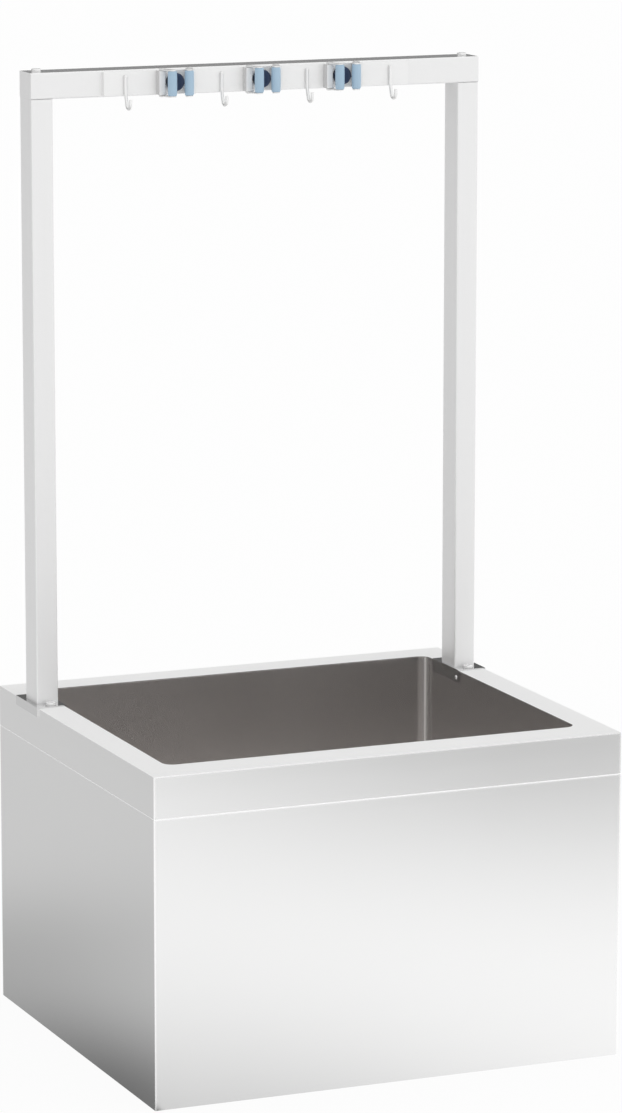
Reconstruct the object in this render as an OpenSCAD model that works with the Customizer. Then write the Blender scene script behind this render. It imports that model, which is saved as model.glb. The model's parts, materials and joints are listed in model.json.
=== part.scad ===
// Floor-standing mop service sink: a stainless box with a deep bowl, and a frame on
// its rim that carries a rail of four hooks and three spring clips.
// Millimetres. The origin is on the floor under the middle of the box, the front
// faces -Y and up is +Z.

/* [Box] */
// Width of the box, left to right
box_w = 600; // [480:10:900]
// Depth of the box, front to back
box_d = 535; // [460:5:700]
// Height of the space under the bowl
under_h = 130; // [125:5:330]
// Thickness of the stainless sheet
sheet_t = 1.2; // [1:0.1:2]
// Height of the band round the top of the box
apron_h = 50; // [40:5:90]
// Width of the flanges folded inwards on the band and the skirts
flange_w = 15; // [10:1:22]
// Chamfer along the top of the skirts, seen as a bright line
seam_c = 0.9; // [0.3:0.1:1]

/* [Bowl] */
// Width of the rim at the left and right
rim_side = 35; // [33:1:60]
// Width of the rim at the front
rim_front = 51; // [30:1:80]
// Width of the rim at the back
rim_back = 41; // [30:1:80]
// Depth of the bowl below the rim
bowl_depth = 270; // [150:5:400]
// Inside radius of the corners and bottom edges of the bowl
bowl_r = 14; // [5:1:30]
// Diameter of the round recess that the drain sits in
recess_d = 120; // [116:1:150]
// Depth of the recess
recess_h = 3; // [2.5:0.5:6]

/* [Inner frame] */
// Leg width of the corner posts
post_w = 25; // [20:1:32]
// Thickness of the corner posts
post_t = 2; // [1.5:0.5:4]
// Width of the two bearers under the bowl
bearer_w = 40; // [30:1:60]
// Height of the bearers
bearer_h = 25; // [15:1:30]
// Distance between the middles of the bearers
bearer_spacing = 220; // [180:10:300]

/* [Feet] */
// Distance of each foot from the two faces of its corner
foot_inset = 45; // [40:1:52]
// Diameter of the foot
foot_d = 40; // [30:1:50]
// Height of the foot's pad
foot_pad_h = 12; // [8:1:16]
// Diameter of the threaded stud
stud_d = 10; // [8:1:12]
// Length of the stud above the pad
stud_l = 63; // [60:1:80]
// Height of the foot plate above the floor
foot_plate_z = 60; // [56:1:66]
// Side of the square foot plate
foot_plate_w = 62; // [60:1:75]
// Thickness of the foot plate
foot_plate_t = 3; // [2:0.5:5]
// Height of the threaded bush under the foot plate
bush_h = 14; // [10:1:16]
// Diameter of the bush
bush_d = 18; // [16:1:22]
// Height of the lock nut under the bush
foot_nut_h = 8; // [5:1:9]

/* [Drain] */
// Hole in the floor of the bowl
drain_hole_d = 90; // [88:1:100]
// Outside diameter of the drain's lip
lip_d = 113; // [106:1:115]
// Thickness of the lip
lip_t = 1.5; // [1:0.5:3]
// Outside diameter of the drain cup
cup_d = 86; // [84:1:87]
// Wall of the drain cup
cup_t = 1.5; // [1:0.5:2]
// Depth of the cup below the top of the lip
cup_depth = 55; // [45:1:60]
// Outside diameter of the cup's outlet
outlet_d = 44; // [42:1:48]
// Length of the outlet
outlet_l = 15; // [12:1:18]
// Bevel of the seat inside the lip
seat_c = 2.5; // [1:0.5:3]
// Thickness of the gasket under the lip
gasket_t = 1; // [0.5:0.5:2]
// Thickness of the rubber washer under the floor
washer_t = 3; // [2:0.5:5]
// Height of the big nut that clamps the drain
drain_nut_h = 10; // [8:1:14]
// Outside diameter of the big nut
drain_nut_d = 108; // [104:1:112]
// Outside diameter of the waste pipe
tail_d = 40; // [32:1:40]
// Wall of the waste pipe
tail_t = 2; // [1.5:0.5:3]
// Length of the waste pipe
tail_l = 45; // [30:1:50]
// Height of the waste pipe's nut
tail_nut_h = 20; // [16:1:22]

/* [Strainer] */
// Outside diameter of the basket
basket_d = 80; // [70:1:80]
// Depth of the basket below the lip
basket_depth = 31; // [20:1:40]
// Sheet of the basket
basket_t = 1; // [0.8:0.1:1.5]
// Outside diameter of the basket's rim
basket_rim_d = 92; // [90:1:98]
// Diameter of the strainer holes
strain_d = 5; // [3:0.5:6]
// Diameter of the knob
knob_d = 18; // [14:1:22]
// Height of the knob's head
knob_h = 10; // [6:1:12]
// Diameter of the knob's stem
stem_d = 6; // [5:1:8]
// Height of the knob's stem above the floor of the basket
stem_l = 17; // [10:1:18]

/* [Hanger frame] */
// Height of the top of the frame above the floor
frame_h = 1175; // [900:5:1500]
// Width of the uprights, seen from the front
tube_w = 28; // [24:1:30]
// Depth of the uprights and the crossbar
tube_d = 40; // [30:1:50]
// Height of the crossbar
bar_h = 32; // [31:1:50]
// Wall of the tubes
tube_t = 1.5; // [1:0.1:2]
// Outside radius of the tubes' edges
tube_r = 2; // [2:0.5:4]
// Distance of the uprights from the sides of the box
upright_inset = 5; // [2:0.5:5.5]
// Distance of the frame's back from the back of the box
frame_inset = 84; // [40:1:200]
// Height of the threaded block in the top of each upright
block_h = 30; // [20:1:50]
// Diameter of the bolts through the crossbar
top_bolt_d = 6; // [5:1:8]
// Diameter of the bolt heads on the crossbar
top_head_d = 11.5; // [10:0.5:16]
// Height of those bolt heads
top_head_h = 3.5; // [2:0.5:6]

/* [Saddles] */
// Length of the saddle along the rim
saddle_l = 78; // [76:1:90]
// Thickness of the saddle
saddle_t = 1.5; // [1:0.1:2.5]
// Drop of the outer flange
saddle_outer_h = 10.5; // [6:0.5:30]
// Drop of the inner flange
saddle_inner_h = 15; // [13:1:40]
// Diameter of the bolts that hold the saddle down
saddle_bolt_d = 6; // [5:1:8]
// Diameter of their round heads
saddle_head_d = 13; // [11:0.5:14]
// Height of their heads
saddle_head_h = 4; // [2.5:0.5:6]
// Distance of the bolts from the ends of the saddle
saddle_bolt_inset = 8.5; // [8:0.5:10]
// Height of the nuts under the rim
saddle_nut_h = 5; // [4:0.5:8]
// Diameter of the screw through the inner flange
flange_screw_d = 4; // [3:0.5:5]
// Drop of that screw below the rim
flange_screw_drop = 9; // [7:0.5:9]

/* [Rail] */
// Length of the rail
rail_l = 400; // [380:1:480]
// Height of the rail
rail_h = 29; // [29:1:31]
// Depth of the rail
rail_d = 6; // [4:0.5:12]
// Thickness of the rail's sheet
rail_t = 1.5; // [1:0.1:2]
// Offset of the rail from the middle of the frame
rail_shift = -3.5; // [-12:0.5:12]

/* [Hooks] */
// Diameter of the hooks' wire
hook_d = 4; // [3:0.5:5]
// Height of a hook above the middle of its bend
hook_l = 31.3; // [27:0.1:33]
// Drop of the middle of the bend below the middle of the rail
hook_drop = 23.2; // [21.5:0.1:40]
// Distance of the middle of the bend from the rail
hook_out = 12.4; // [11:0.1:16]
// Inside radius of the bend
hook_r = 4.6; // [3:0.1:6]
// Lean of the wire between the shank and the bend
hook_lean = 18; // [12:1:30]
// Height of the lip above the middle of the bend
hook_lip_h = 5.2; // [2:0.1:10]

/* [Clips] */
// Width of a clip's bracket
bracket_w = 47; // [45:1:56]
// Height of the bracket
bracket_h = 29; // [24:1:29]
// Depth of the bracket
bracket_d = 11.8; // [11.6:0.1:13]
// Thickness of the bracket
bracket_t = 1.2; // [1:0.1:1.5]
// Width of the two lips on the bracket's front
lip_w = 7.5; // [4:0.1:10]
// Width of the tabs that hold the hinge pins
tab_w = 10.3; // [10:0.1:11]
// Distance between the two hinge pins
pin_spacing = 35; // [34:0.5:36]
// Distance of the pins from the rail
pin_out = 6; // [5.9:0.1:6.2]
// Diameter of a hinge pin
pin_d = 4; // [3:0.5:4]
// Distance between the two grips
grip_spacing = 21.8; // [20:0.1:28]
// Distance of the grips from the rail
grip_out = 22.5; // [21:0.5:30]
// Outside diameter of a grip
grip_d = 11.4; // [10:0.1:15]
// Diameter of the rod inside a grip
rod_d = 6; // [4:0.5:7]
// Width of the arm's lugs
lug_w = 9; // [8:0.5:10]
// Thickness of the lugs
lug_t = 1.5; // [1:0.1:2.5]
// Diameter of the round bumper
bumper_d = 22.4; // [16:0.1:23]
// Thickness of the bumper
bumper_t = 6.8; // [4:0.1:7]
// Diameter of the screw through the bumper
clip_screw_d = 4; // [3:0.5:5]
// Wire of the torsion springs
wire_d = 1; // [0.6:0.1:1]
// Turns of a torsion spring
spring_turns = 3; // [2:1:6]

/* [Hidden] */
$fn = 48;

// Overrun of every cut
cut = 1;
// Radial clearance of a shaft that turns or slides in its bore
run_fit = 0.05;
// Radial clearance of a bolt in a plain hole
bolt_fit = 0.3;
// Clearance of a plug or sleeve in what holds it
snug_fit = 0.1;
// Places of the hooks and clips along the rail, from its left end
hook_place_shares = [0.067, 0.379, 0.66, 0.938];
clip_place_shares = [0.226, 0.509, 0.775];

box_h = under_h + bowl_depth;
skirt_h = box_h - apron_h;
bowl_w = box_w - 2 * rim_side;
bowl_l = box_d - rim_front - rim_back;
bowl_y = (rim_front - rim_back) / 2;
floor_z = under_h;
under_floor_z = floor_z - recess_h - sheet_t;

foot_x = box_w / 2 - foot_inset;
foot_y = box_d / 2 - foot_inset;
bush_z = foot_plate_z - foot_plate_t - bush_h;
foot_collar_h = 4;
foot_taper = 6;
foot_round = 2;

lip_z = floor_z - recess_h + gasket_t;
lip_top_z = lip_z + lip_t;
cup_z = lip_top_z - cup_depth;
outlet_z = cup_z - outlet_l;
drain_nut_z = under_floor_z - washer_t - drain_nut_h;
drain_nut_lug = 7;
drain_nut_lugs = 6;
tail_collar_h = 3;
tail_nut_wall = 6;
tail_nut_lip = tail_nut_h - outlet_l + tail_collar_h;
neck_t = 0.6;
neck_l = tail_collar_h + tail_nut_lip + tail_t;

basket_z = lip_top_z - basket_depth;
strain_rings = 3;
stem_foot_d = stem_d * 2;
stem_foot_h = 1.5;
knob_round = 2;

frame_y = box_d / 2 - frame_inset - tube_d / 2;
front_y = frame_y - tube_d / 2;
upright_x = box_w / 2 - upright_inset - tube_w / 2;
upright_z = box_h + saddle_t;
bar_l = box_w - 2 * upright_inset;
bar_z = frame_h - bar_h / 2;
tube_inner_r = 0.5;
head_round = 1;
top_bolt_l = bar_h + block_h * 0.8;

saddle_bolt_y = saddle_l / 2 - saddle_bolt_inset;
flange_screw_inset = 1.4 * flange_screw_d;
flange_screw_y = frame_y - saddle_l / 2 + flange_screw_inset;
flange_screw_z = box_h - flange_screw_drop;
flange_screw_l = 9;
flange_head_d = 1.4 * flange_screw_d;
flange_head_h = 1.2;
nut_wall = 2.6;
saddle_bolt_l = saddle_t + sheet_t + saddle_nut_h + 2 * nut_wall;

rail_y = front_y - rail_d;
rail_x = rail_shift - rail_l / 2;
hook_bend_r = hook_r + hook_d / 2;
hook_elbow_d = 1.025 * hook_d;
hook_elbow_turn = 2;
hook_head_d = 1.5 * hook_d;
hook_head_h = 0.8;

plate_y = rail_y - bracket_t;
lug_gap = 0.6;
lug_z = bracket_h / 2 + lug_gap;
pin_head_d = pin_d * 1.5;
pin_head_h = 0.8;
grip_round = 1;
bumper_round = 2;
bumper_recess_d = clip_screw_d * 2.1;
bumper_recess_h = bumper_t / 3;
clip_head_d = clip_screw_d * 1.9;
clip_head_h = 1.8;
clip_screw_l = bumper_t - bumper_recess_h + bracket_t + rail_d + tube_t + clip_screw_d;
spring_r = pin_d / 2 + wire_d * 1.2;
spring_pitch = wire_d * 1.6;
spring_leg = (pin_spacing - bumper_d) / 2 - wire_d;
spring_rings = 8;
wire_sides = 6;

function hook_x(i) = rail_x + rail_l * hook_place_shares[i];
function clip_x(i) = rail_x + rail_l * clip_place_shares[i];

// Rounded rectangle about the origin
module round_rect(w, d, r) {
    square([w - 2 * r, d], center = true);
    square([w, d - 2 * r], center = true);
    for (sx = [-1, 1], sy = [-1, 1])
        translate([sx * (w / 2 - r), sy * (d / 2 - r)]) circle(r = r);
}

// Tub standing on z = 0 with round upright edges and round bottom edges
module tub(w, d, h, r) {
    translate([0, 0, r]) linear_extrude(h - r) round_rect(w, d, r);
    translate([0, 0, r / 2]) cube([w - 2 * r, d - 2 * r, r], center = true);
    for (s = [-1, 1]) {
        translate([0, s * (d / 2 - r), r]) rotate([0, 90, 0])
            cylinder(r = r, h = w - 2 * r, center = true);
        translate([s * (w / 2 - r), 0, r]) rotate([90, 0, 0])
            cylinder(r = r, h = d - 2 * r, center = true);
        for (t = [-1, 1])
            translate([s * (w / 2 - r), t * (d / 2 - r), r]) sphere(r = r);
    }
}

// Box from z = 0, centred in plan
module block(w, d, h) translate([-w / 2, -d / 2, 0]) cube([w, d, h]);

// Rectangular ring from z = 0
module ring_block(w, d, h, wall) {
    difference() {
        block(w, d, h);
        translate([0, 0, -cut]) block(w - 2 * wall, d - 2 * wall, h + 2 * cut);
    }
}

// Tube or disc from z = 0
module ring(outer_d, inner_d, h) {
    difference() {
        cylinder(d = outer_d, h = h);
        translate([0, 0, -cut]) cylinder(d = inner_d, h = h + 2 * cut);
    }
}

// Bar whose edge cuts a 45 degree chamfer along X
module chamfer_bar(l, c) {
    rotate([45, 0, 0]) cube([l, c * sqrt(2), c * sqrt(2)], center = true);
}

// What is drawn for the back right corner, turned to the corner sx, sy
module at_corner(sx, sy) {
    if (sx < 0 && sy < 0) rotate([0, 0, 180]) children();
    else if (sx < 0) mirror([1, 0, 0]) children();
    else if (sy < 0) mirror([0, 1, 0]) children();
    else children();
}

// The two sides of the frame, from what is drawn for the right one
module at_both_sides() {
    children();
    mirror([1, 0, 0]) children();
}

// Space inside the bowl
module bowl_space() translate([0, bowl_y, floor_z]) tub(bowl_w, bowl_l, bowl_depth + cut, bowl_r);

// Top of the box with the band folded down round it
module deck() color("gainsboro") difference() {
    union() {
        translate([0, 0, box_h - sheet_t]) block(box_w, box_d, sheet_t);
        translate([0, 0, skirt_h]) ring_block(box_w, box_d, apron_h, sheet_t);
        translate([0, 0, skirt_h]) ring_block(box_w, box_d, sheet_t, flange_w);
    }
    bowl_space();
    at_both_sides() for (s = [-1, 1])
        translate([upright_x, frame_y + s * saddle_bolt_y, box_h - sheet_t - cut])
            cylinder(r = saddle_bolt_d / 2 + bolt_fit, h = sheet_t + 2 * cut);
}

// Deep bowl, welded to the underside of the deck round its mouth
module bowl() color("silver") difference() {
    union() {
        translate([0, bowl_y, floor_z - sheet_t])
            tub(bowl_w + 2 * sheet_t, bowl_l + 2 * sheet_t, bowl_depth, bowl_r + sheet_t);
        translate([0, bowl_y, under_floor_z])
            cylinder(d = recess_d + 2 * sheet_t, h = recess_h + sheet_t);
    }
    bowl_space();
    translate([0, bowl_y, floor_z - recess_h]) cylinder(d = recess_d, h = recess_h + cut);
    translate([0, bowl_y, under_floor_z - cut]) cylinder(d = drain_hole_d, h = recess_h + sheet_t + 2 * cut);
    at_both_sides() translate([bowl_w / 2 - cut, flange_screw_y, flange_screw_z]) rotate([0, 90, 0])
        cylinder(r = flange_screw_d / 2 + run_fit, h = sheet_t + 2 * cut);
}

// Skirt panel with its outer face on y = 0 and its flanges folded towards +Y
module skirt_panel(w, flange_l) {
    difference() {
        union() {
            translate([-w / 2, 0, 0]) cube([w, sheet_t, skirt_h]);
            for (z = [0, skirt_h - sheet_t])
                translate([-flange_l / 2, 0, z]) cube([flange_l, flange_w, sheet_t]);
        }
        translate([0, 0, skirt_h]) chamfer_bar(w + 2 * cut, seam_c);
    }
}

module long_skirt() skirt_panel(box_w, box_w - 2 * sheet_t);
module short_skirt() skirt_panel(box_d - 2 * sheet_t, box_d - 2 * flange_w);

module skirt_front() color("gainsboro") translate([0, -box_d / 2, 0]) long_skirt();
module skirt_back() color("gainsboro") translate([0, box_d / 2, 0]) rotate([0, 0, 180]) long_skirt();
module skirt_left() color("silver") translate([-box_w / 2, 0, 0]) rotate([0, 0, -90]) short_skirt();
module skirt_right() color("silver") translate([box_w / 2, 0, 0]) rotate([0, 0, 90]) short_skirt();

// Angle post with its foot plate and threaded bush, for the back right corner
module post() {
    corner_x = box_w / 2 - sheet_t;
    corner_y = box_d / 2 - sheet_t;
    difference() {
        union() {
            translate([corner_x - post_w, corner_y - post_t, sheet_t])
                cube([post_w, post_t, skirt_h - 2 * sheet_t]);
            translate([corner_x - post_t, corner_y - post_w, sheet_t])
                cube([post_t, post_w, skirt_h - 2 * sheet_t]);
            translate([corner_x - foot_plate_w, corner_y - foot_plate_w, foot_plate_z - foot_plate_t])
                cube([foot_plate_w, foot_plate_w, foot_plate_t]);
            translate([foot_x, foot_y, bush_z]) cylinder(d = bush_d, h = bush_h);
        }
        translate([foot_x, foot_y, bush_z - cut])
            cylinder(r = stud_d / 2 + run_fit, h = bush_h + foot_plate_t + 2 * cut);
    }
}

module post_front_left() color("darkgray") at_corner(-1, -1) post();
module post_front_right() color("darkgray") at_corner(1, -1) post();
module post_back_left() color("darkgray") at_corner(-1, 1) post();
module post_back_right() color("darkgray") at_corner(1, 1) post();

// Channel across the box, open below, that the floor of the bowl rests on
module bearer(y) {
    l = box_w - 2 * sheet_t;
    translate([0, y, floor_z - sheet_t - bearer_h]) difference() {
        block(l, bearer_w, bearer_h);
        translate([0, 0, -cut])
            block(l + 2 * cut, bearer_w - 2 * post_t, bearer_h - post_t + cut);
    }
}

module bearer_front() color("darkgray") bearer(bowl_y - bearer_spacing / 2);
module bearer_back() color("darkgray") bearer(bowl_y + bearer_spacing / 2);

// Levelling foot: round pad, collar and stud, for the back right corner
module foot() {
    translate([foot_x, foot_y, 0]) {
        rotate_extrude() polygon([
            [0, 0], [foot_d / 2, 0], [foot_d / 2, foot_round],
            [foot_d / 2 - foot_taper, foot_pad_h - foot_collar_h],
            [stud_d, foot_pad_h - foot_collar_h], [stud_d, foot_pad_h], [0, foot_pad_h]
        ]);
        cylinder(d = stud_d, h = foot_pad_h + stud_l);
    }
}

module foot_front_left() color("dimgray") at_corner(-1, -1) foot();
module foot_front_right() color("dimgray") at_corner(1, -1) foot();
module foot_back_left() color("dimgray") at_corner(-1, 1) foot();
module foot_back_right() color("dimgray") at_corner(1, 1) foot();

module foot_locknuts() color("silver")
    for (sx = [-1, 1], sy = [-1, 1])
        translate([sx * foot_x, sy * foot_y, bush_z - foot_nut_h]) difference() {
            cylinder(d = bush_d, h = foot_nut_h, $fn = 6);
            translate([0, 0, -cut]) cylinder(r = stud_d / 2 + run_fit, h = foot_nut_h + 2 * cut);
        }

module drain_flange() color("silver") translate([0, bowl_y, 0]) {
    cup_in = cup_d / 2 - cup_t;
    outlet_in = outlet_d / 2 - cup_t;
    rotate_extrude() polygon([
        [lip_d / 2, lip_z], [lip_d / 2, lip_top_z], [cup_in + seat_c, lip_top_z],
        [cup_in, lip_top_z - seat_c], [cup_in, cup_z + cup_t], [outlet_in, cup_z + cup_t],
        [outlet_in, outlet_z], [outlet_d / 2, outlet_z], [outlet_d / 2, cup_z],
        [cup_d / 2, cup_z], [cup_d / 2, lip_z]
    ]);
}

module drain_gasket() color("dimgray") translate([0, bowl_y, floor_z - recess_h])
    ring(lip_d - 2 * gasket_t, drain_hole_d, gasket_t);

module drain_washer() color("dimgray") translate([0, bowl_y, under_floor_z - washer_t])
    ring(drain_nut_d, cup_d + 2 * snug_fit, washer_t);

module drain_locknut() color("white") translate([0, bowl_y, drain_nut_z]) difference() {
    union() {
        cylinder(d = drain_nut_d, h = drain_nut_h);
        for (i = [1 : drain_nut_lugs]) rotate([0, 0, i * 360 / drain_nut_lugs])
            translate([drain_nut_d / 2 - drain_nut_lug, -drain_nut_lug / 2, 0])
                cube([2 * drain_nut_lug, drain_nut_lug, drain_nut_h]);
    }
    translate([0, 0, -cut]) cylinder(r = cup_d / 2 + run_fit, h = drain_nut_h + 2 * cut);
}

// Waste pipe with a thicker neck where its nut runs and a collar that the nut lifts
module waste_pipe() color("white") translate([0, bowl_y, outlet_z]) difference() {
    union() {
        translate([0, 0, -tail_l]) cylinder(d = tail_d, h = tail_l);
        translate([0, 0, -neck_l]) cylinder(r = tail_d / 2 + neck_t, h = neck_l);
        translate([0, 0, -tail_collar_h]) cylinder(d = outlet_d, h = tail_collar_h);
    }
    translate([0, 0, -tail_l - cut]) cylinder(d = tail_d - 2 * tail_t, h = tail_l + 2 * cut);
}

module waste_pipe_nut() color("white")
    translate([0, bowl_y, outlet_z - tail_collar_h - tail_nut_lip]) difference() {
        cylinder(d = outlet_d + 2 * tail_nut_wall, h = tail_nut_h, $fn = 8);
        translate([0, 0, -cut]) cylinder(r = tail_d / 2 + neck_t + run_fit, h = tail_nut_h + 2 * cut);
        translate([0, 0, tail_nut_lip]) cylinder(r = outlet_d / 2 + run_fit, h = tail_nut_h);
    }

module strainer_basket() color("silver") translate([0, bowl_y, basket_z]) {
    wall_in = basket_d / 2 - basket_t;
    row = (wall_in - stem_d / 2) / (strain_rings + 0.5);
    difference() {
        rotate_extrude() polygon([
            [0, 0], [basket_d / 2, 0], [basket_d / 2, basket_depth],
            [basket_rim_d / 2, basket_depth], [basket_rim_d / 2, basket_depth + basket_t],
            [wall_in, basket_depth + basket_t], [wall_in, basket_t], [0, basket_t]
        ]);
        translate([0, 0, -cut]) cylinder(r = stem_d / 2 + run_fit, h = basket_t + 2 * cut);
        for (k = [1 : strain_rings], i = [1 : 6 * k]) rotate([0, 0, i * 60 / k])
            translate([stem_d / 2 + k * row, 0, -cut]) cylinder(d = strain_d, h = basket_t + 2 * cut);
    }
}

module strainer_knob() color("silver") translate([0, bowl_y, basket_z]) {
    top = basket_t + stem_l + knob_h;
    rotate_extrude() polygon([
        [0, -stem_foot_h], [stem_foot_d / 2, -stem_foot_h], [stem_foot_d / 2, 0], [stem_d / 2, 0],
        [stem_d / 2, basket_t], [stem_foot_d / 2, basket_t], [stem_foot_d / 2, basket_t + stem_foot_h],
        [stem_d / 2, basket_t + 2 * stem_foot_h], [stem_d / 2, basket_t + stem_l],
        [knob_d / 2 - knob_round, basket_t + stem_l], [knob_d / 2, basket_t + stem_l + knob_round],
        [knob_d / 2, top - knob_round], [knob_d / 2 - knob_round, top], [0, top]
    ]);
}

// Folded saddle over the right rim
module saddle() {
    outer_x = box_w / 2;
    inner_x = box_w / 2 - rim_side;
    translate([0, frame_y - saddle_l / 2, 0]) difference() {
        union() {
            translate([inner_x - saddle_t, 0, box_h])
                cube([rim_side + 2 * saddle_t, saddle_l, saddle_t]);
            translate([outer_x, 0, box_h - saddle_outer_h]) cube([saddle_t, saddle_l, saddle_outer_h]);
            translate([inner_x - saddle_t, 0, box_h - saddle_inner_h])
                cube([saddle_t, saddle_l, saddle_inner_h]);
        }
        for (y = [saddle_bolt_inset, saddle_l - saddle_bolt_inset])
            translate([upright_x, y, box_h - cut])
                cylinder(r = saddle_bolt_d / 2 + bolt_fit, h = saddle_t + 2 * cut);
        translate([inner_x - saddle_t - cut, flange_screw_inset, flange_screw_z]) rotate([0, 90, 0])
            cylinder(r = flange_screw_d / 2 + run_fit, h = saddle_t + 2 * cut);
    }
}

module saddle_left() color("silver") mirror([1, 0, 0]) saddle();
module saddle_right() color("silver") saddle();

// Round-headed bolt with its head standing on z = 0
module round_bolt(d, l, head_d, head_h) {
    rotate_extrude() polygon([
        [0, -l], [d / 2, -l], [d / 2, 0], [head_d / 2, 0], [head_d / 2, head_h - head_round],
        [head_d / 2 - head_round, head_h], [0, head_h]
    ]);
}

module saddle_bolts() color("whitesmoke") at_both_sides()
    for (s = [-1, 1]) translate([upright_x, frame_y + s * saddle_bolt_y, box_h + saddle_t])
        round_bolt(saddle_bolt_d, saddle_bolt_l, saddle_head_d, saddle_head_h);

module saddle_nuts() color("silver") at_both_sides()
    for (s = [-1, 1])
        translate([upright_x, frame_y + s * saddle_bolt_y, box_h - sheet_t - saddle_nut_h]) difference() {
            cylinder(r = saddle_bolt_d / 2 + nut_wall, h = saddle_nut_h, $fn = 6);
            translate([0, 0, -cut]) cylinder(r = saddle_bolt_d / 2 + run_fit, h = saddle_nut_h + 2 * cut);
        }

module saddle_screws() color("whitesmoke") at_both_sides()
    translate([bowl_w / 2 - saddle_t, flange_screw_y, flange_screw_z]) rotate([0, -90, 0])
        round_bolt(flange_screw_d, flange_screw_l, flange_head_d, flange_head_h);

// Rectangular tube from z = 0
module tube_profile(w, d) {
    difference() {
        round_rect(w, d, tube_r);
        round_rect(w - 2 * tube_t, d - 2 * tube_t, tube_inner_r);
    }
}

module upright() translate([upright_x, frame_y, upright_z])
    linear_extrude(frame_h - bar_h - upright_z) tube_profile(tube_w, tube_d);

module upright_left() color("whitesmoke") mirror([1, 0, 0]) upright();
module upright_right() color("whitesmoke") upright();

// Crossbar: tube along X with both ends closed
module crossbar() color("whitesmoke") difference() {
    union() {
        translate([-bar_l / 2, frame_y, bar_z]) rotate([90, 0, 90])
            linear_extrude(bar_l) tube_profile(tube_d, bar_h);
        for (s = [-1, 1]) translate([s * (bar_l - tube_t) / 2 - tube_t / 2, frame_y, bar_z])
            rotate([90, 0, 90]) linear_extrude(tube_t) round_rect(tube_d, bar_h, tube_r);
    }
    at_both_sides() translate([upright_x, frame_y, bar_z - bar_h])
        cylinder(r = top_bolt_d / 2 + bolt_fit, h = 2 * bar_h);
    for (i = [0 : 2]) translate([clip_x(i), front_y - cut, bar_z]) rotate([-90, 0, 0])
        cylinder(r = clip_screw_d / 2 + run_fit, h = tube_t + 2 * cut);
}

// Threaded blocks in the tops of the uprights
module corner_blocks() color("darkgray") at_both_sides()
    translate([upright_x, frame_y, frame_h - bar_h - block_h]) difference() {
        linear_extrude(block_h)
            round_rect(tube_w - 2 * (tube_t + snug_fit), tube_d - 2 * (tube_t + snug_fit), tube_inner_r);
        translate([0, 0, -cut]) cylinder(r = top_bolt_d / 2 + run_fit, h = block_h + 2 * cut);
    }

module top_bolts() color("whitesmoke") at_both_sides() translate([upright_x, frame_y, frame_h])
    round_bolt(top_bolt_d, top_bolt_l, top_head_d, top_head_h);

// Shallow tray, open at the back, screwed to the front of the crossbar
module rail() color("whitesmoke") difference() {
    translate([rail_x, rail_y, bar_z - rail_h / 2]) cube([rail_l, rail_d, rail_h]);
    translate([rail_x + rail_t, rail_y + rail_t, bar_z - rail_h / 2 + rail_t])
        cube([rail_l - 2 * rail_t, rail_d, rail_h - 2 * rail_t]);
    for (i = [0 : 2]) translate([clip_x(i), rail_y - cut, bar_z]) rotate([-90, 0, 0])
        cylinder(r = clip_screw_d / 2 + run_fit, h = rail_t + 2 * cut);
    for (i = [0 : 3]) translate([hook_x(i), rail_y - cut, bar_z - hook_drop + hook_l]) rotate([-90, 0, 0])
        cylinder(r = hook_d / 2 + run_fit, h = rail_t + 2 * cut);
}

// Straight wire between two places, and the elbow where two wires meet, its poles inside them
module hook_rod(from, to) {
    run = to - from;
    translate([from.x, from.y, 0]) rotate([0, 0, atan2(run.y, run.x)]) rotate([0, 90, 0])
        cylinder(d = hook_d, h = norm(run));
}
module hook_elbow(at, turn) translate([at.x, at.y, 0]) rotate([0, 0, turn]) rotate([0, 90, 0])
    sphere(d = hook_elbow_d);

// Wire hook, its tail headed behind the rail's sheet. It is drawn with X away from the
// rail and Y up, from the middle of its bend.
module hook() rotate([90, 0, -90]) {
    shank_out = hook_elbow_d / 2;
    low = [hook_out - hook_bend_r * cos(hook_lean), -hook_bend_r * sin(hook_lean)];
    lean_l = (low.x - shank_out) / sin(hook_lean);
    knee = [shank_out, low.y + lean_l * cos(hook_lean)];
    top = [shank_out, hook_l];
    high = [hook_out + hook_bend_r, 0];
    hook_rod([-rail_t - hook_head_h / 2, hook_l], top);
    hook_rod(knee, top);
    hook_rod(low, knee);
    hook_rod(high, high + [0, hook_lip_h]);
    hook_elbow(top, -45);
    hook_elbow(knee, hook_lean / 2 - 90);
    hook_elbow(low, hook_lean - 90);
    hook_elbow(high, 90);
    translate([hook_out, 0, 0]) rotate([0, 0, 180 + hook_lean + hook_elbow_turn])
        rotate_extrude(angle = 180 - hook_lean - 2 * hook_elbow_turn)
            translate([hook_bend_r, 0]) circle(d = hook_d);
    translate([-rail_t - hook_head_h, hook_l, 0]) rotate([0, 90, 0])
        cylinder(d = hook_head_d, h = hook_head_h);
}

module at_hook(i) translate([hook_x(i), rail_y, bar_z - hook_drop]) children();
module hook_1() color("lightgray") at_hook(0) hook();
module hook_2() color("lightgray") at_hook(1) hook();
module hook_3() color("lightgray") at_hook(2) hook();
module hook_4() color("lightgray") at_hook(3) hook();

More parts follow.
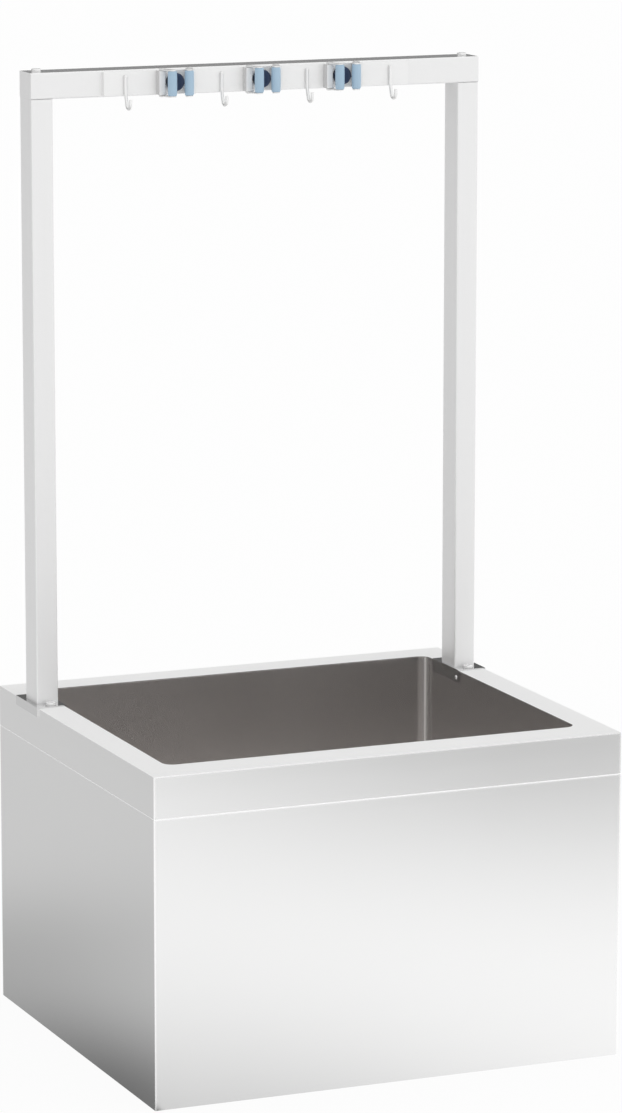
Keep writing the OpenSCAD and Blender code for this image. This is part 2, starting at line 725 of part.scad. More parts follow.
// Folded bracket in the clip's own frame: the rail's face is y = 0 and the front is -Y
module clip_bracket() {
    mid = bracket_h / 2;
    difference() {
        translate([-bracket_w / 2, -bracket_d, -mid]) cube([bracket_w, bracket_d, bracket_h]);
        translate([-bracket_w / 2 + bracket_t, -bracket_d + bracket_t, -mid + bracket_t])
            cube([bracket_w - 2 * bracket_t, bracket_d - 2 * bracket_t, bracket_h - 2 * bracket_t]);
        translate([-bracket_w / 2 + tab_w, -bracket_d - cut, -mid - cut])
            cube([bracket_w - 2 * tab_w, bracket_d - bracket_t + cut, bracket_h + 2 * cut]);
        translate([-bracket_w / 2 + lip_w, -bracket_d - cut, -mid - cut])
            cube([bracket_w - 2 * lip_w, bracket_t + cut, bracket_h + 2 * cut]);
        for (s = [-1, 1]) translate([s * pin_spacing / 2, -pin_out, -mid - cut])
            cylinder(r = pin_d / 2 + run_fit, h = bracket_h + 2 * cut);
        rotate([90, 0, 0]) translate([0, 0, -cut])
            cylinder(r = clip_screw_d / 2 + run_fit, h = bracket_t + 2 * cut);
    }
}

// Flat link with round ends, from one place to another
module link(from, to, w, t) {
    run = to - from;
    translate(from) rotate([0, 0, atan2(run.y, run.x)]) linear_extrude(t) {
        circle(d = w);
        translate([norm(run), 0]) circle(d = w);
        translate([0, -w / 2]) square([norm(run), w]);
    }
}

// Arm of a clip: two lugs that turn on the pin, joined by the rod inside the grip
module clip_arm(side) {
    pin = [side * pin_spacing / 2, -pin_out, 0];
    tip = [side * grip_spacing / 2, -grip_out, 0];
    difference() {
        union() {
            for (z = [lug_z, -lug_z - lug_t]) translate([0, 0, z]) link(pin, tip, lug_w, lug_t);
            translate([tip.x, tip.y, -lug_z]) cylinder(d = rod_d, h = 2 * lug_z);
        }
        translate([pin.x, pin.y, -lug_z - lug_t - cut])
            cylinder(r = pin_d / 2 + run_fit, h = 2 * (lug_z + lug_t + cut));
    }
}

// Rubber sleeve on the rod of an arm
module clip_grip(side) {
    half = lug_z - snug_fit;
    bore = rod_d / 2 + run_fit;
    translate([side * grip_spacing / 2, -grip_out, 0]) rotate_extrude() polygon([
        [bore, -half], [grip_d / 2 - grip_round, -half], [grip_d / 2, -half + grip_round],
        [grip_d / 2, half - grip_round], [grip_d / 2 - grip_round, half], [bore, half]
    ]);
}

module at_clip(i) translate([clip_x(i), rail_y, bar_z]) children();

module clip_1_bracket() color("whitesmoke") at_clip(0) clip_bracket();
module clip_2_bracket() color("whitesmoke") at_clip(1) clip_bracket();
module clip_3_bracket() color("whitesmoke") at_clip(2) clip_bracket();
module clip_1_arm_left() color("lightgray") at_clip(0) clip_arm(-1);
module clip_2_arm_left() color("lightgray") at_clip(1) clip_arm(-1);
module clip_3_arm_left() color("lightgray") at_clip(2) clip_arm(-1);
module clip_1_arm_right() color("lightgray") at_clip(0) clip_arm(1);
module clip_2_arm_right() color("lightgray") at_clip(1) clip_arm(1);
module clip_3_arm_right() color("lightgray") at_clip(2) clip_arm(1);
module clip_1_grip_left() color("lightsteelblue") at_clip(0) clip_grip(-1);
module clip_2_grip_left() color("lightsteelblue") at_clip(1) clip_grip(-1);
module clip_3_grip_left() color("lightsteelblue") at_clip(2) clip_grip(-1);
module clip_1_grip_right() color("lightsteelblue") at_clip(0) clip_grip(1);
module clip_2_grip_right() color("lightsteelblue") at_clip(1) clip_grip(1);
module clip_3_grip_right() color("lightsteelblue") at_clip(2) clip_grip(1);

// Round bumper on the bracket, with a recess for the head of its screw
module clip_bumpers() color("midnightblue") for (i = [0 : 2]) at_clip(i)
    translate([0, -bracket_t, 0]) rotate([90, 0, 0]) rotate_extrude() polygon([
        [clip_screw_d / 2 + run_fit, 0], [bumper_d / 2, 0], [bumper_d / 2, bumper_t - bumper_round],
        [bumper_d / 2 - bumper_round, bumper_t], [bumper_recess_d / 2, bumper_t],
        [bumper_recess_d / 2, bumper_t - bumper_recess_h],
        [clip_screw_d / 2 + run_fit, bumper_t - bumper_recess_h]
    ]);

module clip_screws() color("silver") for (i = [0 : 2]) at_clip(i)
    translate([0, bumper_recess_h - bumper_t - bracket_t, 0]) rotate([90, 0, 0]) {
        translate([0, 0, -clip_screw_l]) cylinder(d = clip_screw_d, h = clip_screw_l);
        cylinder(d = clip_head_d, h = clip_head_h);
    }

// Hinge pins with a head at each end, just clear of the lugs
module clip_pins() color("silver") for (i = [0 : 2], s = [-1, 1]) at_clip(i)
    translate([s * pin_spacing / 2, -pin_out, 0]) {
        end = lug_z + lug_t + run_fit;
        translate([0, 0, -end]) cylinder(d = pin_d, h = 2 * end);
        for (z = [-end - pin_head_h, end]) translate([0, 0, z]) cylinder(d = pin_head_d, h = pin_head_h);
    }

// Torsion spring: a straight leg along +X into the coil, which climbs about the Z axis
function coil_turn(k) = max(k, 0) * 360 / spring_rings - 90;
function coil_side(k) = [cos(coil_turn(k)), sin(coil_turn(k)), 0];
function coil_centre(k) = k < 0 ? [k * spring_leg, -spring_r, 0]
                                : spring_r * coil_side(k) + [0, 0, k * spring_pitch / spring_rings];
function coil_point(k, j) = let (b = -j * 360 / wire_sides)
    coil_centre(k) + wire_d / 2 * (cos(b) * coil_side(k) + sin(b) * [0, 0, 1]);

coil_last = spring_turns * spring_rings;
coil_rise = spring_turns * spring_pitch;
coil_points = [for (k = [-1 : coil_last], j = [0 : wire_sides - 1]) coil_point(k, j)];
coil_faces = concat(
    [[for (j = [0 : wire_sides - 1]) j]],
    [for (k = [0 : coil_last], j = [0 : wire_sides - 1])
        let (a = k * wire_sides + j, b = k * wire_sides + (j + 1) % wire_sides)
            each [[a, a + wire_sides, b], [b, a + wire_sides, b + wire_sides]]],
    [[for (j = [wire_sides - 1 : -1 : 0]) (coil_last + 1) * wire_sides + j]]
);
coil_gaps = [for (k = [0 : coil_last - spring_rings], m = [k + spring_rings / 2 : coil_last])
    norm(coil_centre(m) - coil_centre(k)) - wire_d];
echo(least_gap_of_the_spring = min(coil_gaps));

// Spring of the right arm, its leg lying in front of the back plate
module spring() translate([pin_spacing / 2, -pin_out, coil_rise / 2]) rotate([180, 0, 0])
    polyhedron(coil_points, coil_faces, convexity = 4);

module clip_springs() color("silver") for (i = [0 : 2]) at_clip(i) at_both_sides() spring();

deck();
bowl();
skirt_front();
skirt_back();
skirt_left();
skirt_right();
post_front_left();
post_front_right();
post_back_left();
post_back_right();
bearer_front();
bearer_back();
foot_front_left();
foot_front_right();
foot_back_left();
foot_back_right();
foot_locknuts();
drain_flange();
drain_gasket();
drain_washer();
drain_locknut();
waste_pipe();
waste_pipe_nut();
strainer_basket();
strainer_knob();
saddle_left();
saddle_right();
saddle_bolts();
saddle_nuts();
saddle_screws();
upright_left();
upright_right();
crossbar();
corner_blocks();
top_bolts();
rail();
hook_1();
hook_2();
hook_3();
hook_4();
clip_1_bracket();
clip_2_bracket();
clip_3_bracket();
clip_1_arm_left();
clip_2_arm_left();
clip_3_arm_left();
clip_1_arm_right();
clip_2_arm_right();
clip_3_arm_right();
clip_1_grip_left();
clip_2_grip_left();
clip_3_grip_left();
clip_1_grip_right();
clip_2_grip_right();
clip_3_grip_right();
clip_bumpers();
clip_pins();
clip_springs();
clip_screws();
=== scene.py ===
import json
import math

import bmesh
import bpy
from mathutils import Matrix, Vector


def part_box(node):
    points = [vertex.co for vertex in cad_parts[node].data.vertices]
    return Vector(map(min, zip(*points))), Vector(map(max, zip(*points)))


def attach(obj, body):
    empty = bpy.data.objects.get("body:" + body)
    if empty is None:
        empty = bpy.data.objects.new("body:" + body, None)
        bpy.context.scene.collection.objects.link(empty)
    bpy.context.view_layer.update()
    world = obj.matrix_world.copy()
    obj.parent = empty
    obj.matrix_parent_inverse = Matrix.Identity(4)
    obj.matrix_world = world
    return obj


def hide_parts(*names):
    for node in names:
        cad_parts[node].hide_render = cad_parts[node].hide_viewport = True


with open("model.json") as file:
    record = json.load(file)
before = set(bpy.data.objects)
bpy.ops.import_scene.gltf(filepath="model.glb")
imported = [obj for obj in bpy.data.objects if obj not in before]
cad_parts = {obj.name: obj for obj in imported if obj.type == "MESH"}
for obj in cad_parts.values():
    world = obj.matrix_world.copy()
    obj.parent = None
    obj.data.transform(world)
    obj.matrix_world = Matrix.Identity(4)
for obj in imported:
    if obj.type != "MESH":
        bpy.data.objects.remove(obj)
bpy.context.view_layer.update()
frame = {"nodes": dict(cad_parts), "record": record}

nodes = frame["nodes"]
joints = frame["record"]["behaviour"]["joints"]
clips, sides = (1, 2, 3), ("left", "right")
deckLow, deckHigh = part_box("deck")
# points closer than this are one point, in metres
near = 0.00001
print("frame loaded,", len(nodes), "nodes")

# metres from the middle of the box on the floor; the sensor lies along the photo's height
camera = {
    "place": (-2.3094, -5.5119, 1.7408),
    "pitch": 10.904,
    "yaw": 22.814,
    "roll": 0.033,
    "focalPixels": 5005.1,
    "imageHeight": 1113,
    "sensor": 36.0,
    "seesFrom": 0.1,
    "seesTo": 100,
}


def makeCamera(c):
    data = bpy.data.cameras.new("camera")
    data.sensor_width = c["sensor"]
    data.lens = c["focalPixels"] * c["sensor"] / c["imageHeight"]
    data.clip_start, data.clip_end = c["seesFrom"], c["seesTo"]
    cam = bpy.data.objects.new("camera", data)
    turned = Matrix.Rotation(math.radians(-c["yaw"]), 4, "Z")
    turned = turned @ Matrix.Rotation(math.radians(90 - c["pitch"]), 4, "X")
    turned = turned @ Matrix.Rotation(math.radians(c["roll"]), 4, "Z")
    cam.matrix_world = Matrix.Translation(c["place"]) @ turned
    bpy.context.scene.collection.objects.link(cam)
    bpy.context.scene.camera = cam


makeCamera(camera)


# a shader socket that can stand in a sum like a number
class Wire:
    def __init__(self, board, socket):
        self.board, self.socket = board, socket

    def calc(self, operation, *values):
        return self.board.node("ShaderNodeMath", {"operation": operation}, dict(enumerate(values)))

    def __add__(self, other):
        return self.calc("ADD", self, other)

    def __radd__(self, other):
        return self.calc("ADD", other, self)

    def __sub__(self, other):
        return self.calc("SUBTRACT", self, other)

    def __rsub__(self, other):
        return self.calc("SUBTRACT", other, self)

    def __mul__(self, other):
        return self.calc("MULTIPLY", self, other)

    def __rmul__(self, other):
        return self.calc("MULTIPLY", other, self)

    def __truediv__(self, other):
        return self.calc("DIVIDE", self, other)

    def __rtruediv__(self, other):
        return self.calc("DIVIDE", other, self)

    def __neg__(self):
        return self.calc("MULTIPLY", self, -1)

    def __abs__(self):
        return self.calc("ABSOLUTE", self)

    def over(self, edge):
        return self.calc("GREATER_THAN", self, edge)

    def most(self, other):
        return self.calc("MAXIMUM", self, other)

    def exp(self):
        return self.calc("EXPONENT", self)

    # 0 up to low, 1 from high on, smooth between
    def rise(self, low, high):
        return self.board.node("ShaderNodeMapRange", {"interpolation_type": "SMOOTHSTEP"},
                               {"Value": self, "From Min": low, "From Max": high})


# how straight along an axis a slanted edge face and a flat face look
edgeFacing = {"slanted": 0.93, "flat": 0.985}
# layers in a noise, and the value that a noise lies round
plainDetail, fineDetail = 2.0, 3.0
noiseMiddle = 0.5


# a material's or the world's node tree
class Board:
    def __init__(self, tree):
        self.tree = tree
        tree.nodes.clear()

    def node(self, kind, settings=None, values=None, out=0):
        made = self.tree.nodes.new(kind)
        for name, value in (settings or {}).items():
            setattr(made, name, value)
        for name, value in (values or {}).items():
            if isinstance(value, Wire):
                self.tree.links.new(value.socket, made.inputs[name])
            else:
                made.inputs[name].default_value = value
        return Wire(self, made.outputs[out] if len(made.outputs) else None)

    def parts(self, vector):
        split = self.node("ShaderNodeSeparateXYZ", None, {0: vector})
        return [Wire(self, split.socket.node.outputs[i]) for i in range(3)]

    # object coordinates
    def place(self):
        return self.node("ShaderNodeTexCoord", out="Object")

    # which way the surface faces
    def facing(self):
        return self.parts(self.node("ShaderNodeNewGeometry", out="Normal"))

    # 1 on the small slanted faces of folded and cut edges, 0 on faces that look along an axis; it marks where
    # the painted edge highlight goes
    def bent(self):
        x, y, z = self.parts(self.node("ShaderNodeNewGeometry", out="True Normal"))
        return 1 - abs(x).most(abs(y)).most(abs(z)).rise(edgeFacing["slanted"], edgeFacing["flat"])

    # scale is one number, or one for each axis
    def noise(self, where, scale, detail=plainDetail, rough=0.5):
        scale = scale if isinstance(scale, tuple) else (scale,) * 3
        mapped = self.node("ShaderNodeMapping", None, {"Vector": where, "Scale": scale})
        return self.node("ShaderNodeTexNoise", {"noise_dimensions": "3D"},
                         {"Vector": mapped, "Scale": 1.0, "Detail": detail, "Roughness": rough})

    def blend(self, factor, first, second):
        return self.node("ShaderNodeMix", {"data_type": "RGBA"}, {0: factor, 6: first, 7: second}, out=2)

    def bump(self, height, strength, distance):
        return self.node("ShaderNodeBump", None,
                         {"Strength": strength, "Distance": distance, "Height": height})

    def principled(self, values):
        return self.node("ShaderNodeBsdfPrincipled", None, values)

    def show(self, shader, kind="ShaderNodeOutputMaterial"):
        self.node(kind, None, {"Surface": shader})


def newBoard(name):
    made = bpy.data.materials.new(name)
    made.use_nodes = True
    return made, Board(made.node_tree)


def gray(v):
    return (v, v, v, 1)


# brushed or polished stainless; grain is the axis that the brushing runs along
steelGrain = {"along": 9.0, "across": 1400.0, "lines": 0.03, "cloudSize": 5.0, "clouds": 0.02,
              "paint": 2.5, "spread": 0.2, "bump": 0.0002}
# a face whose normal has this much of an axis in it counts as looking along it
facesAlong = 0.7


def grainScale(axis):
    scale = [steelGrain["across"]] * 3
    scale["XYZ".index(axis)] = steelGrain["along"]
    return tuple(scale)


# the two side strips of the rim are brushed along Y, up to the mitres
def rimGrain(b, where):
    x, y, z = b.parts(where)
    nx, ny, nz = b.facing()
    onStrip = (abs(x) - deckHigh.x + deckHigh.y).over(abs(y)) * abs(nz).over(facesAlong)
    side = abs(nx).over(facesAlong).most(onStrip)
    return b.noise(where, grainScale("X")) * (1 - side) + b.noise(where, grainScale("Y")) * side


# edges near the outside of the box get a painted highlight: lighter paint, less metal and a glow of their
# own; the cut edge of the bowl's mouth gets none
paintedEdgeHighlight = {"sideZone": 0.030, "frontZone": 0.0125, "paint": 0.95, "metal": 0.3}


def onOutside(b, where):
    x, y, z = b.parts(where)
    atSides = abs(x).over(deckHigh.x - paintedEdgeHighlight["sideZone"])
    return atSides.most(abs(y).over(deckHigh.y - paintedEdgeHighlight["frontZone"]))


# the band and the skirts get a painted highlight in strips along their folds on the front and back, which
# stands in for the light on their small bend radius; each pair is how far from the corner, the seam or the
# top the painted light starts and is full
paintedFoldLight = {"corner": (0.0028, 0.0006), "seam": (0.0033, 0.0008), "seamEnd": (0.0002, -0.0005),
        "top": (0.0022, 0.0004), "share": 0.5}


def upTo(edge, distances):
    return edge - distances[0], edge - distances[1]


# where the painted highlight along the folds goes: near the outer upright corners, the seam and the top, on
# faces that look along Y
def onPaintedFoldLight(b, where):
    x, y, z = b.parts(where)
    corner = abs(x).rise(*upTo(deckHigh.x, paintedFoldLight["corner"]))
    seam = z.rise(*upTo(deckLow.z, paintedFoldLight["seam"])) * (1 - z.rise(*upTo(deckLow.z, paintedFoldLight["seamEnd"])))
    top = z.rise(*upTo(deckHigh.z, paintedFoldLight["top"]))
    return corner.most(seam).most(top) * abs(b.facing()[1]).over(facesAlong) * paintedFoldLight["share"]


# the round upright corners of the bowl get a painted highlight: a narrow line and a soft glow of less metal,
# so their paint shows lighter than the walls
paintedCornerHighlight = {"line": 0.75, "lineWide": 0.08, "lineShine": 0.62, "glowShine": 0.16,
               "glowX": (0.3, 0.58), "glowY": (0.05, 0.35), "level": (0.2, 0.5)}


def paintCornerHighlight(b, c):
    nx, ny, nz = b.facing()
    upright = 1 - abs(nz).rise(*c["level"])
    off = (abs(nx) - c["line"]) / c["lineWide"]
    glow = abs(nx).rise(*c["glowX"]) * abs(ny).rise(*c["glowY"])
    return ((-(off * off)).exp() * c["lineShine"] + glow * c["glowShine"]) * upright


def makeSteel(name, color, rough, grain="X", depth=0.02, metal=1.0, topRough=None, topMetal=None,
              frontMetal=None, paintedSideShade=None, edge=None, corner=False):
    made, b = newBoard(name)
    where = b.place()
    lines = rimGrain(b, where) if grain == "rim" else b.noise(where, grainScale(grain))
    cloud = b.noise(where, steelGrain["cloudSize"], fineDetail)
    uneven = (lines - noiseMiddle) * steelGrain["lines"] + (cloud - noiseMiddle) * steelGrain["clouds"]
    dark = tuple(c * (1 - steelGrain["spread"]) for c in color) + (1,)
    light = tuple(min(1, c * (1 + steelGrain["spread"])) for c in color) + (1,)
    paint = b.blend(uneven * steelGrain["paint"] + noiseMiddle, dark, light)
    gloss, shine = uneven + rough, metal
    nx, ny, nz = b.facing()
    # the glow of the painted edge highlight, none unless edge is given
    paintedGlint = gray(0)
    if topRough is not None:
        top = nz.over(facesAlong)
        gloss = gloss + top * (topRough - rough)
        shine = shine + top * (topMetal - metal)
    if frontMetal is not None:
        shine = shine + (-ny).over(facesAlong) * (frontMetal - metal)
    # painted shade: faces that look along X get a flat darker paint
    if paintedSideShade is not None:
        paint = b.blend(abs(nx).over(facesAlong), paint, gray(paintedSideShade))
    # painted highlight on the outer edges and the folds: lighter paint, less metal and a glow of strength
    # edge
    if edge is not None:
        bent = b.bent().most(onPaintedFoldLight(b, where)) * onOutside(b, where)
        paint = b.blend(bent, paint, gray(paintedEdgeHighlight["paint"]))
        shine = shine * (1 - bent) + bent * paintedEdgeHighlight["metal"]
        paintedGlint = b.blend(bent, gray(0), gray(edge))
    # painted highlight on the bowl's round upright corners
    if corner:
        shine = shine - paintCornerHighlight(b, paintedCornerHighlight)
    b.show(b.principled({"Base Color": paint, "Metallic": shine, "Roughness": gloss,
                         "Normal": b.bump(lines, depth, steelGrain["bump"]),
                         "Emission Color": paintedGlint, "Emission Strength": 1.0}))
    return made


steels = {
    # satin_sheet's edge is the glow strength of its painted edge highlight
    "satin_sheet": {"color": (0.90, 0.90, 0.895), "rough": 0.24, "grain": "rim",
                    "topRough": 0.5, "topMetal": 0.12, "edge": 0.17},
    # bowl_sheet's corner turns on the painted corner highlight
    "bowl_sheet": {"color": (0.775, 0.755, 0.742), "rough": 0.23, "grain": "Z", "corner": True},
    "frame_tube": {"color": (0.92, 0.92, 0.92), "rough": 0.45, "grain": "Z", "metal": 0.5,
                   "topRough": 0.25, "topMetal": 1.0, "frontMetal": 0.3},
    "saddle_sheet": {"color": (0.74, 0.74, 0.74), "rough": 0.10, "grain": "Y"},
    "rail_sheet": {"color": (0.98, 0.98, 0.975), "rough": 0.40, "metal": 0.2},
    "hook_wire": {"color": (0.90, 0.90, 0.89), "rough": 0.30, "grain": "Z", "metal": 0.7},
    # bracket_sheet's side faces get painted shade
    "bracket_sheet": {"color": (0.97, 0.97, 0.97), "rough": 0.40, "metal": 0.1, "paintedSideShade": 0.60},
    "arm_sheet": {"color": (0.86, 0.86, 0.86), "rough": 0.32, "grain": "Y", "metal": 0.7},
    "bright_fastener": {"color": (0.88, 0.88, 0.88), "rough": 0.25, "grain": "Z", "metal": 0.7, "depth": 0.0},
    "plain_fastener": {"color": (0.82, 0.82, 0.82), "rough": 0.32, "grain": "Z", "metal": 0.8, "depth": 0.0},
    "spring_wire": {"color": (0.60, 0.60, 0.61), "rough": 0.25, "grain": "Z", "depth": 0.0},
    "drain_steel": {"color": (0.78, 0.78, 0.77), "rough": 0.16, "grain": "Z", "depth": 0.0},
}


# two noises mixed, the first one with this share
coarseShare = 0.7


def mixNoise(coarse, fine):
    return coarse * coarseShare + fine * (1 - coarseShare)


zincCoat = {"spangles": 90.0, "fine": 400.0, "dark": (0.42, 0.44, 0.46, 1),
            "light": (0.62, 0.64, 0.66, 1), "metal": 0.85, "rough": 0.38, "uneven": 0.2}


def makeGalvanised(name, z):
    made, b = newBoard(name)
    where = b.place()
    spangle = b.node("ShaderNodeTexVoronoi", None, {"Vector": where, "Scale": z["spangles"]}, out="Color")
    tone = b.parts(spangle)[0]
    paint = b.blend(mixNoise(tone, b.noise(where, z["fine"], fineDetail)), z["dark"], z["light"])
    b.show(b.principled({"Base Color": paint, "Metallic": z["metal"],
                         "Roughness": tone * z["uneven"] + z["rough"]}))
    return made


rubberSkin = {"clouds": 60.0, "coarse": 0.6, "uneven": 0.1, "bump": 0.0002}
rubbers = {
    "seal_rubber": {"dark": (0.012, 0.012, 0.012, 1), "light": (0.03, 0.03, 0.03, 1), "rough": 0.6},
    "white_plastic": {"dark": (0.78, 0.78, 0.76, 1), "light": (0.86, 0.86, 0.84, 1), "rough": 0.3,
                      "grain": 500, "depth": 0.05},
    "grip_rubber": {"dark": (0.36, 0.51, 0.65, 1), "light": (0.42, 0.57, 0.70, 1), "rough": 0.5},
    "bumper_rubber": {"dark": (0.018, 0.035, 0.085, 1), "light": (0.03, 0.055, 0.12, 1), "rough": 0.45},
}


def makeRubber(name, dark, light, rough, grain=900.0, depth=0.15):
    made, b = newBoard(name)
    where = b.place()
    fine = b.noise(where, grain, fineDetail, rubberSkin["coarse"])
    paint = b.blend(mixNoise(b.noise(where, rubberSkin["clouds"]), fine), dark, light)
    b.show(b.principled({"Base Color": paint, "Metallic": 0.0,
                         "Roughness": rough + (fine - noiseMiddle) * rubberSkin["uneven"],
                         "Normal": b.bump(fine, depth, rubberSkin["bump"])}))
    return made


# black pad below, zinc stud from just under the pad's top
foot = {
    "padTop": 0.0119,
    "threadScale": 105.0,
    "threadBump": 0.0006,
    "threadDepth": 0.5,
    "grain": 700.0,
    "padGrain": 0.2,
    "pad": ((0.035, 0.035, 0.037, 1), (0.06, 0.06, 0.062, 1)),
    "zinc": ((0.55, 0.56, 0.56, 1), (0.70, 0.71, 0.70, 1)),
    "zincMetal": 0.95,
    "padRough": 0.6,
    "zincSmooth": 0.28,
}


def makeFoot(name, f):
    made, b = newBoard(name)
    where = b.place()
    stud = b.parts(where)[2].over(f["padTop"])
    fine = b.noise(where, f["grain"], fineDetail)
    thread = b.node("ShaderNodeTexWave", {"bands_direction": "Z"},
                    {"Vector": where, "Scale": f["threadScale"], "Distortion": 0.0})
    relief = thread * stud + fine * (1 - stud) * f["padGrain"]
    b.show(b.principled({"Base Color": b.blend(stud, b.blend(fine, *f["pad"]), b.blend(fine, *f["zinc"])),
                         "Metallic": stud * f["zincMetal"],
                         "Roughness": f["padRough"] - stud * f["zincSmooth"],
                         "Normal": b.bump(relief, f["threadDepth"], f["threadBump"])}))
    return made


finishes = {name: makeSteel(name, **look) for name, look in steels.items()}
finishes["inner_steel"] = makeGalvanised("inner_steel", zincCoat)
finishes["foot_plastic"] = makeFoot("foot_plastic", foot)
finishes.update({name: makeRubber(name, **look) for name, look in rubbers.items()})
print(len(finishes), "finishes made")

# the sheet and tube edges are a little round
softEdge = {"flat": 0.5, "segments": 2, "angle": 30.0}
softWidths = {"deck": 0.0008, "skirt": 0.0008, "crossbar": 0.0002, "upright": 0.0002, "bowl": 0.0005,
              "saddle": 0.0004, "rail": 0.0005, "clip": 0.0003, "post": 0.0005, "bearer": 0.0008,
              "strainer": 0.0002, "drain": 0.0003, "waste": 0.0003}


def shadeSmooth(shape):
    for face in shape.data.polygons:
        face.use_smooth = True


def softenEdges(shape, width):
    weld = shape.modifiers.new("weld", "WELD")
    weld.merge_threshold = near
    flat = shape.modifiers.new("flat", "DECIMATE")
    flat.decimate_type = "DISSOLVE"
    flat.angle_limit = math.radians(softEdge["flat"])
    bevel = shape.modifiers.new("bevel", "BEVEL")
    bevel.width, bevel.segments = width, softEdge["segments"]
    bevel.limit_method, bevel.angle_limit = "ANGLE", math.radians(softEdge["angle"])
    normals = shape.modifiers.new("normals", "WEIGHTED_NORMAL")
    normals.keep_sharp = True
    shadeSmooth(shape)


slotOf = {}
for part in frame["record"]["subparts"]:
    name = part["node"]
    shape = nodes[name]
    slotOf[name] = part["material_slot"]
    shape.data.materials.clear()
    shape.data.materials.append(finishes[slotOf[name]])
    width = softWidths.get(name.split("_")[0])
    if width:
        softenEdges(shape, width)
print("finishes and soft edges on the nodes")


def newObject(name, form):
    mesh = bpy.data.meshes.new(name)
    form.to_mesh(mesh)
    form.free()
    made = bpy.data.objects.new(name, mesh)
    bpy.context.scene.collection.objects.link(made)
    return made


# a new piece, which takes the finish of the node that it replaces
def finishPiece(name, form, body, replaced):
    piece = newObject(name, form)
    shadeSmooth(piece)
    piece.data.materials.append(finishes[slotOf[replaced]])
    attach(piece, body)
    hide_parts(replaced)


# puts a finished form into a larger one
def addForm(larger, form):
    part = bpy.data.meshes.new("part")
    form.to_mesh(part)
    form.free()
    larger.from_mesh(part)
    bpy.data.meshes.remove(part)


def quarterTurn(form, verts, axis):
    bmesh.ops.rotate(form, cent=(0, 0, 0), matrix=Matrix.Rotation(math.tau / 4, 3, axis), verts=verts)


# turns an outline of (radius, height) points fully round the Z axis
def turnRound(form, points, steps):
    dots = [form.verts.new((r, 0, z)) for r, z in points]
    line = dots + [form.edges.new(pair) for pair in zip(dots, dots[1:])]
    bmesh.ops.spin(form, geom=line, cent=(0, 0, 0), axis=(0, 0, 1), angle=math.tau, steps=steps,
                   use_merge=True)
    bmesh.ops.remove_doubles(form, verts=form.verts, dist=near)


# rounds the ring edges at a radius and height
def roundRing(form, radius, height, width, segments):
    def onRing(v):
        return abs(math.hypot(v.co.x, v.co.y) - radius) < near and abs(v.co.z - height) < near

    rings = [e for e in form.edges if all(onRing(v) for v in e.verts)]
    bmesh.ops.bevel(form, geom=rings, offset=width, offset_type="OFFSET", affect="EDGES",
                    segments=segments, profile=0.5, material=-1)


def closeUp(form):
    bmesh.ops.recalc_face_normals(form, faces=form.faces)


# rubber sleeve of an arm: round ends, and a slight swell over its middle third
grip = {"bore": 0.0031, "swell": 0.0003, "edge": 0.0013, "steps": 40, "segments": 4}


def makeGrip(clip, side, g):
    node = f"clip_{clip}_grip_{side}"
    low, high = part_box(node)
    middle, radius, half = (low + high) / 2, (high.x - low.x) / 2, (high.z - low.z) / 2
    form = bmesh.new()
    end, third = radius - g["swell"], half / 3
    turnRound(form, [(g["bore"], -half), (end, -half), (radius, -third), (radius, third),
                     (end, half), (g["bore"], half), (g["bore"], -half)], g["steps"])
    for height in (-half, half):
        roundRing(form, end, height, g["edge"], g["segments"])
    bmesh.ops.translate(form, vec=middle, verts=form.verts)
    closeUp(form)
    finishPiece(f"grip_sleeve_{clip}_{side}", form, f"clip_{clip}_{side}", node)


for clip in clips:
    for side in sides:
        makeGrip(clip, side, grip)
print("grips made")

# round rubber bumper with a domed front that covers its screw
bumper = {"bore": 0.0021, "boreDepth": 0.0018, "edge": 0.0022, "dome": 0.0007, "steps": 56, "segments": 5}


def makeBumper(clip, b):
    low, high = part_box("clip_bumpers")
    bracketLow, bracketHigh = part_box(f"clip_{clip}_bracket")
    middle = (bracketLow + bracketHigh) / 2
    radius, depth = (high.z - low.z) / 2, high.y - low.y
    shoulder = depth - b["dome"]
    form = bmesh.new()
    # halfway out, the dome is a quarter of its height down
    turnRound(form, [(b["bore"], b["boreDepth"]), (b["bore"], 0), (radius, 0), (radius, shoulder),
                     (radius / 2, depth - b["dome"] / 4), (0, depth)], b["steps"])
    roundRing(form, radius, shoulder, b["edge"], b["segments"])
    bmesh.ops.holes_fill(form, edges=form.edges, sides=0)
    quarterTurn(form, form.verts, "X")
    bmesh.ops.translate(form, vec=(middle.x, high.y, middle.z), verts=form.verts)
    closeUp(form)
    finishPiece(f"bumper_{clip}", form, "base", "clip_bumpers")


for clip in clips:
    makeBumper(clip, bumper)
print("bumpers made")

# torsion spring round each hinge pin, its leg against the bracket's back plate
spring = {"radius": 0.0032, "wire": 0.0005, "turns": 3, "pitch": 0.0016, "leg": 0.0053,
          "ringSteps": 12, "turnSteps": 32}


